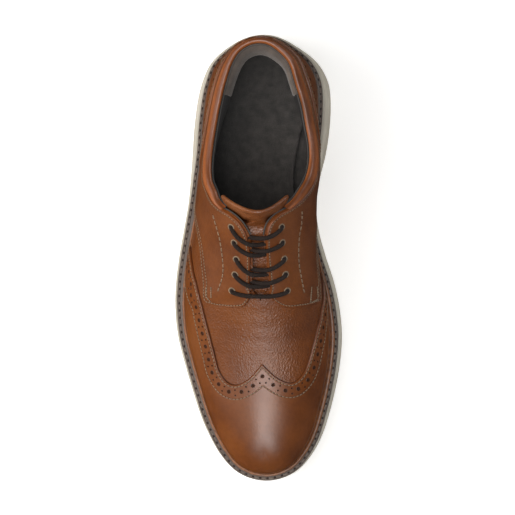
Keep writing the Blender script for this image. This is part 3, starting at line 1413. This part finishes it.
loop += [(j, cross_steps - 1) for j in range(long_steps - 2, -1, -1)]
loop += [(0, k) for k in range(cross_steps - 2, 0, -1)]
points = [top.reshape(-1, 3), below.reshape(-1, 3)]
faces = grid_faces(long_steps, cross_steps, 0, True)
faces += grid_faces(long_steps, cross_steps, long_steps * cross_steps, False)
start = 2 * long_steps * cross_steps
HEM_STEPS = 6
hem = []
for j, k in loop:
    out = np.zeros(3)
    if k == 0:
        out -= across[j, k] / np.linalg.norm(across[j, k])
    if k == cross_steps - 1:
        out += across[j, k] / np.linalg.norm(across[j, k])
    if j == 0:
        out -= along[j, k] / np.linalg.norm(along[j, k])
    if j == long_steps - 1:
        out += along[j, k] / np.linalg.norm(along[j, k])
    out = out / np.linalg.norm(out)
    half = TONGUE_THICK / 2
    centre = cloth[j, k] - normal[j, k] * half
    for m in range(1, HEM_STEPS):
        bend = math.pi * m / HEM_STEPS
        hem.append(centre + normal[j, k] * half * math.cos(bend) + out * half * math.sin(bend))
points.append(np.array(hem))


def hem_point(i, m):
    j, k = loop[i % len(loop)]
    if m == 0:
        return j * cross_steps + k
    if m == HEM_STEPS:
        return long_steps * cross_steps + j * cross_steps + k
    return start + (i % len(loop)) * (HEM_STEPS - 1) + m - 1


for i in range(len(loop)):
    for m in range(HEM_STEPS):
        faces.append((hem_point(i, m), hem_point(i, m + 1), hem_point(i + 1, m + 1),
                      hem_point(i + 1, m))[::-1])
tongue_leather = leather_look("tongue_look", (0.30, 0.10, 0.030), (0.22, 0.066, 0.017), TAN, 0.36, 2.2)
tongue = make_piece("tongue_look", np.concatenate(points), faces, tongue_leather, smooth=60)
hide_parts("tongue")

# Seams: rows of beige thread, each stitch drawn a little into the leather between two dark
# needle holes.
THREAD_BEIGE = (0.32, 0.21, 0.12)
THREAD_TAUPE = (0.25, 0.19, 0.15)
HOLE_DARK = (0.030, 0.014, 0.008)
PUNCH_BROWN = (0.050, 0.018, 0.007)


def thread_look(name, colour):
    material, tree, shader = new_material(name, 0.75, colour)
    tone = ramp(tree, object_noise(tree, 700, 3),
                [(0.3, tuple(c * 0.6 for c in colour)), (0.7, colour)])
    tree.links.new(tone, shader.inputs["Base Color"])
    tree.links.new(bump(tree, object_noise(tree, 2600, 1), 0.5, 0.0002), shader.inputs["Normal"])
    return material


beige_thread = thread_look("beige_thread", THREAD_BEIGE)
taupe_thread = thread_look("taupe_thread", THREAD_TAUPE)
needle_dark, tree, shader = new_material("needle_hole", 0.9, HOLE_DARK)
tree.links.new(bump(tree, object_noise(tree, 1200, 2), 0.3, 0.0002), shader.inputs["Normal"])
punch_brown, tree, shader = new_material("punched_hole", 0.8, PUNCH_BROWN)
shader.inputs["Specular IOR Level"].default_value = 0.1
tree.links.new(bump(tree, object_noise(tree, 1200, 2), 0.3, 0.0002), shader.inputs["Normal"])


def disc(centre, normal, ahead, rings, sides=10):
    """Rings of points round a centre, given as (radius, height), and the fan that closes them."""
    across = np.cross(normal, ahead)
    turns = np.arange(sides) * 2 * math.pi / sides
    round_it = np.cos(turns)[:, None] * ahead + np.sin(turns)[:, None] * across
    points = [centre + round_it * r + normal * h for r, h in rings]
    faces = []
    for j in range(len(rings) - 1):
        for k in range(sides):
            m = (k + 1) % sides
            faces.append((j * sides + k, j * sides + m, (j + 1) * sides + m, (j + 1) * sides + k))
    last = (len(rings) - 1) * sides
    faces.append(tuple(last + k for k in range(sides)))
    return np.concatenate(points), faces


def frames(line, pitch):
    """Centres, directions and surface normals at an even pitch along a line with normals."""
    spots = resample(line, pitch)
    ahead = np.gradient(spots[:, :3], axis=0)
    normal = spots[:, 3:6] / np.linalg.norm(spots[:, 3:6], axis=1, keepdims=True)
    ahead = ahead - normal * (ahead * normal).sum(1, keepdims=True)
    ahead = ahead / np.linalg.norm(ahead, axis=1, keepdims=True)
    return spots[:, :3], ahead, normal


def gather(parts):
    """Several (points, faces, material number) put into one mesh."""
    points, faces, numbers, start = [], [], [], 0
    for part_points, part_faces, number in parts:
        points.append(part_points)
        faces += [tuple(i + start for i in face) for face in part_faces]
        numbers += [number] * len(part_faces)
        start += len(part_points)
    return np.concatenate(points), faces, numbers


def make_parts(name, parts, materials, smooth=60):
    points, faces, numbers = gather(parts)
    piece = make_piece(name, points, faces, materials[0], smooth=smooth)
    for material in materials[1:]:
        piece.data.materials.append(material)
    paint(piece, numbers)
    return piece


STITCH_PROFILE = [(-0.5, 0.35, -0.5), (-0.36, 0.9, 0.05), (0.0, 1.0, 0.3), (0.36, 0.9, 0.05),
                  (0.5, 0.35, -0.5)]


def sewn(lines, pitch, length, radius, hole):
    """Stitches and needle holes along lines."""
    parts = []
    for line in lines:
        centre, ahead, normal = frames(line, pitch)
        for p, t, n in zip(centre[:-1], ahead[:-1], normal[:-1]):
            middle = p + t * pitch / 2
            path = [middle + t * s * length + n * h * radius for s, _, h in STITCH_PROFILE]
            thick = np.array([r * radius for _, r, _ in STITCH_PROFILE])
            rings = tube(path, thick, 6, 0.8, np.tile(n, (5, 1)))
            parts.append((*swept(rings), 0))
            parts.append((*disc(p, n, t, [(hole, 0.06)], 8), 1))
    return parts


seam_parts = []
for inset in (1.5, 9.6):
    seam_parts += sewn(wing.line(inset), 2.5, 1.9, 0.36, 0.3)
seam_parts += sewn(counter.line(1.6), 2.5, 1.9, 0.36, 0.3)
make_parts("wing_and_counter_seams", seam_parts, [beige_thread, needle_dark])
seam_parts = []
for name, panel in quarters.items():
    seam_parts += sewn(panel.line(1.6, [0, 1, 2]), 2.1, 1.5, 0.33, 0.3)
    seam_parts += sewn(panel.line(4.4, [2]), 2.1, 1.5, 0.33, 0.3)
make_parts("quarter_seams", seam_parts, [beige_thread, needle_dark])

# Decorative seams on the quarters, the bar tacks that hold their front corners, and the
# coarse seam through the welt.
FAN_SEAM = {
    "lateral": [
        # at, across
        (0.593, -0.232), (0.566, -0.212), (0.544, -0.197), (0.518, -0.187), (0.487, -0.181),
        (0.461, -0.187), (0.427, -0.218),
    ],
    "medial": [
        (0.602, 0.261), (0.575, 0.256), (0.548, 0.244), (0.517, 0.239), (0.486, 0.242),
        (0.456, 0.255), (0.424, 0.271),
    ],
}
TACKS = {
    "lateral": [[(0.437, -0.257), (0.414, -0.259)], [(0.436, -0.288), (0.418, -0.292)],
                [(0.417, -0.291), (0.405, -0.262)]],
    "medial": [[(0.437, 0.311), (0.404, 0.306)], [(0.437, 0.341), (0.412, 0.346)],
               [(0.410, 0.348), (0.403, 0.310)]],
}


def on_quarter(rows, side):
    """A plan line laid on a quarter, with normals."""
    line = spline(rows) if len(rows) > 2 else np.linspace(rows[0], rows[1], 12)
    plan = np.stack([line[:, 1] * BALL_WIDTH, (line[:, 0] - 0.5) * LENGTH], -1)
    a, v = find_on_last(plan, [0, 1], side, 0.7)
    return np.concatenate([skin(a, v, FIT + OVERLAY), last_normal(a, v)], -1)


seam_parts = []
for name, side in SIDES.items():
    seam_parts += sewn([on_quarter(FAN_SEAM[name], side)], 3.6, 2.9, 0.46, 0.34)
    tacks = [on_quarter(rows, side) for rows in TACKS[name]]
    seam_parts += sewn(tacks, 1.5, 1.2, 0.55, 0.25)
make_parts("fan_seams_and_tacks", seam_parts, [beige_thread, needle_dark])

WELT_SEAM_SHARE = 0.225
line = welt_point(ring_angles, WELT_SEAM_SHARE, FIT + WELT_THICK - 0.25)
line = np.concatenate([line, line[:1]])
line = np.concatenate([line, np.tile([0, 0, 1.0], (len(line), 1))], -1)
make_parts("welt_seam", sewn([line], 4.9, 3.3, 0.6, 0.85), [taupe_thread, needle_dark])

# Broguing: large punched holes in a band inside the edge of the wing tip and the counter, with
# pairs of small ones between.
BROGUE_INSET = 5.3
BROGUE_PITCH = 9.0


def punched(centre, normal, ahead, radius):
    """A punched hole: a pressed rim round a dark bottom."""
    rim = [(radius * 1.3, -0.05), (radius * 1.16, 0.12), (radius, 0.1)]
    well = [(radius, 0.1), (radius * 0.9, 0.04)]
    points, faces = disc(centre, normal, ahead, rim, 14)
    dark_points, dark_faces = disc(centre, normal, ahead, well, 14)
    return [(points, faces[:-1], 0), (dark_points, dark_faces, 1)]


def brogued(lines, sizes, beside):
    """Large holes along lines from their middle, with small ones set beside the line between."""
    parts, halves = [], []
    for line in lines:
        middle = int(np.argmin(np.abs(line[:, 0] - MIDDLE * BALL_WIDTH)))
        halves += [line[middle:], line[: middle + 1][::-1]]
    for line in halves:
        half_turns = max(int(round(length_of(line) / (BROGUE_PITCH / 2))), 2)
        centre, ahead, normal = frames(line, length_of(line) / half_turns)
        for i, (p, t, n) in enumerate(zip(centre, ahead, normal)):
            if i % 2 == 0:
                parts += punched(p, n, t, sizes[0])
            else:
                across = np.cross(n, t)
                for way in beside:
                    parts += punched(p + across * way, n, t, sizes[1])
    return parts


make_parts("wing_brogue_holes", brogued(wing.line(BROGUE_INSET), (1.15, 0.52), (-1.75, 1.75)),
           [wing_leather, punch_brown])
make_parts("counter_brogue_holes", brogued(counter.line(4.8), (1.2, 0.55), (0.0,)),
           [counter_leather, punch_brown])

# Eyelets: five punched holes a side, bound with pale thread.
EYELETS = [
    # at, lateral, medial
    (0.430, -0.134, 0.178), (0.465, -0.113, 0.168), (0.498, -0.102, 0.161),
    (0.533, -0.111, 0.152), (0.566, -0.125, 0.149),
]
EYELET_HOLE = 3.6
eyelet_parts = []
for row in EYELETS:
    for side in (-1, 1):
        x = row[1 if side < 0 else 2] * BALL_WIDTH
        a, v = find_on_last([[x, (row[0] - 0.5) * LENGTH]], [0, 1], side, 0.9)
        centre, normal = skin(a, v, FIT + OVERLAY)[0], last_normal(a, v)[0]
        ahead = np.cross(normal, [1.0, 0, 0])
        ahead = ahead / np.linalg.norm(ahead)
        r = EYELET_HOLE / 2
        rim = [(r + 0.75, -0.1), (r + 0.6, 0.2), (r + 0.25, 0.32), (r - 0.1, 0.12)]
        points, faces = disc(centre, normal, ahead, rim, 24)
        eyelet_parts.append((points, faces[:-1], 0))
        eyelet_parts.append((*disc(centre, normal, ahead, [(r, 0.12), (r * 0.6, 0.05)], 24), 1))
make_parts("eyelet_rims", eyelet_parts, [beige_thread, needle_dark], 70)

# Laces: a round waxed cord, one straight bar at the bottom and four crossings above it. Each
# strand comes up through its eyelet, lies over the facing and dips under the far one.
LACE_RADIUS = 1.4
LACE_LIFT = FIT + OVERLAY + 0.75 * LACE_RADIUS
LACE_BROWN = (0.034, 0.019, 0.014)
lace_look, tree, shader = new_material("lace_look", 0.7, LACE_BROWN)
shader.inputs["Specular IOR Level"].default_value = 0.25
place = add_node(tree, "ShaderNodeUVMap", uv_map="UVMap")
braid = []
for turned in (1.0, -1.0):
    slant = add_node(tree, "ShaderNodeMapping", Scale=(1.0, turned, 1.0))
    slant.inputs["Rotation"].default_value = (0, 0, math.radians(45))
    wave = add_node(tree, "ShaderNodeTexWave", Scale=1.4, Distortion=0.4)
    tree.links.new(place.outputs["UV"], slant.inputs["Vector"])
    tree.links.new(slant.outputs["Vector"], wave.inputs["Vector"])
    braid.append(wave.outputs["Fac"])
crossed = add_node(tree, "ShaderNodeMath", operation="MULTIPLY")
tree.links.new(braid[0], crossed.inputs[0])
tree.links.new(braid[1], crossed.inputs[1])
tone = ramp(tree, crossed.outputs[0], [(0.0, (0.014, 0.008, 0.006)), (0.6, (0.055, 0.031, 0.022))])
tree.links.new(tone, shader.inputs["Base Color"])
tree.links.new(bump(tree, crossed.outputs[0], 0.6, 0.0004), shader.inputs["Normal"])


def smooth_path(points, count):
    points = np.asarray(points, float)
    reach = np.concatenate([[0], np.cumsum(np.linalg.norm(np.diff(points, axis=0), axis=1))])
    fine = np.linspace(0, reach[-1], count)
    return np.stack([cubic(reach, points[:, k], fine) for k in range(3)], -1)


def on_facing(x, y, off):
    side = -1 if x < MIDDLE * BALL_WIDTH else 1
    a, v = find_on_last([[x, y]], [0, 1], side, 0.9)
    return skin(a, v, off)[0], last_normal(a, v)[0]


def gap_edge(y, side, off):
    a = side * turn(TOPLINE, y / LENGTH + 0.5)
    return skin(a, 1.0, off)


def cord(name, paths, node):
    parts, uvs, start = [], [], 0
    for path in paths:
        path = smooth_path(path, 64)
        reach = np.concatenate([[0], np.cumsum(np.linalg.norm(np.diff(path, axis=0), axis=1))])
        points, faces = swept(tube(path, LACE_RADIUS, 16))
        uv = np.zeros((len(points), 2))
        uv[:-2, 0] = np.repeat(reach, 16)
        uv[:-2, 1] = np.tile(np.arange(16) * 0.5, 64)
        parts.append((points, faces, 0))
        uvs.append(uv)
    points, faces, _ = gather(parts)
    piece = make_piece(name, points, faces, lace_look, np.concatenate(uvs), smooth=70)
    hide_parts(node)
    return piece


BAR_SAG = 3.0
STRAND_FALLS = [
    # lateral, medial
    (8.0, 5.6), (10.6, 7.2), (8.2, 5.4), (11.6, 7.4),
]
FLATTENS = 3.0


def strand(x, y, fall, beyond):
    """A strand from its eyelet over the facing, level across the gap and under the far edge."""
    side = -1 if x < MIDDLE * BALL_WIDTH else 1
    centre, normal = on_facing(x, y, FIT + OVERLAY)
    path = [centre - normal * 1.6, centre + normal * 0.5 + [-side * 0.5, -0.6, 0]]
    near = gap_edge(y - fall, side, LACE_LIFT)
    for share in (0.35, 0.7):
        across = x + (near[0] - x) * share
        done = share * abs(near[0] - x) / (abs(near[0] - x) + beyond)
        down = y - fall * (1 - (1 - done) ** FLATTENS)
        path.append(on_facing(across, down, LACE_LIFT)[0])
    done = abs(near[0] - x) / (abs(near[0] - x) + beyond)
    near = gap_edge(y - fall * (1 - (1 - done) ** FLATTENS), side, LACE_LIFT)
    return path + [near]


at, lateral, medial = EYELETS[0]
y = (at - 0.5) * LENGTH
left = strand(lateral * BALL_WIDTH, y, BAR_SAG, 6.0)
right = strand(medial * BALL_WIDTH, y, BAR_SAG, 6.0)
cord("lace_bar_look", [left + right[::-1]], "lace_bar")
for i, (at, lateral, medial) in enumerate(EYELETS[1:]):
    y = (at - 0.5) * LENGTH
    paths = []
    for x, side, fall in zip((lateral, medial), (-1, 1), STRAND_FALLS[i]):
        path = strand(x * BALL_WIDTH, y, fall, 10.0)
        far = gap_edge(y - fall, -side, -0.9)
        level = path[-1] * 0.45 + far * 0.55 + [0, -0.4, 0]
        path += [level, far, far + [-side * 1.0, 0, -0.5]]
        paths.append(path)
    cord(f"lace_cross_{i + 1}_look", paths, f"lace_cross_{i + 1}")

# Floor, lights and camera: the shoe lies under a wide soft light, seen from straight above its
# inner side, toe down the picture.
bpy.ops.object.select_all(action="DESELECT")
bpy.ops.mesh.primitive_plane_add(size=6, location=(0, 0, 0))
floor = bpy.context.object
floor.name = "floor"
paper, tree, shader = new_material("floor_paper", 0.9, (0.88, 0.88, 0.87))
shader.inputs["Specular IOR Level"].default_value = 0.1
shader.inputs["Emission Color"].default_value = (1, 1, 1, 1)
shader.inputs["Emission Strength"].default_value = 0.5
floor.data.materials.append(paper)
floor.visible_glossy = False

LIGHTS = [
    # name, place, width, length, power, colour, lights faces, seen in gloss
    ("overhead_soft", (-0.4, -0.2, 1.5), 1.1, 1.6, 12, (1.0, 0.985, 0.96), True, False),
    ("outer_soft", (-1.25, 0.1, 0.85), 1.0, 1.5, 12, (1.0, 0.99, 0.98), True, True),
    ("gloss_strip", (0.02, -0.45, 1.5), 0.5, 1.5, 28, (1.0, 0.99, 0.98), False, True),
    ("heel_gloss", (0.9, 0.75, 0.55), 0.6, 0.8, 7, (0.98, 0.99, 1.0), False, True),
]
for name, place, width, length, power, colour, lights, glossy in LIGHTS:
    bpy.ops.object.light_add(type="AREA", location=place)
    light = bpy.context.object
    light.name = name
    light.data.shape = "RECTANGLE"
    light.data.size = width
    light.data.size_y = length
    light.data.energy = power
    light.data.color = colour
    light.visible_diffuse = lights
    light.visible_glossy = glossy
    aim = bpy.context.scene.cursor.location - light.location
    light.rotation_euler = aim.to_track_quat("-Z", "Y").to_euler()
world = bpy.context.scene.world or bpy.data.worlds.new("studio")
bpy.context.scene.world = world
world.use_nodes = True
world.node_tree.nodes["Background"].inputs["Color"].default_value = (1, 1, 1, 1)
world.node_tree.nodes["Background"].inputs["Strength"].default_value = 0.27
world.cycles_visibility.glossy = False

CAMERA_OFF = 0.065
CAMERA_HEIGHT = 1.4
LOOK_AT = (0.0, 0.0, 0.045)
bpy.ops.object.camera_add(location=(CAMERA_OFF, 0, CAMERA_HEIGHT))
camera = bpy.context.object
camera.name = "photo_camera"
lean = math.atan2(CAMERA_OFF - LOOK_AT[0], CAMERA_HEIGHT - LOOK_AT[2])
camera.rotation_euler = (0, lean, 0)
camera.data.sensor_width = 36
camera.data.lens = 144
bpy.context.scene.camera = camera
bpy.context.scene.view_settings.view_transform = "Standard"
bpy.context.scene.view_settings.look = "None"
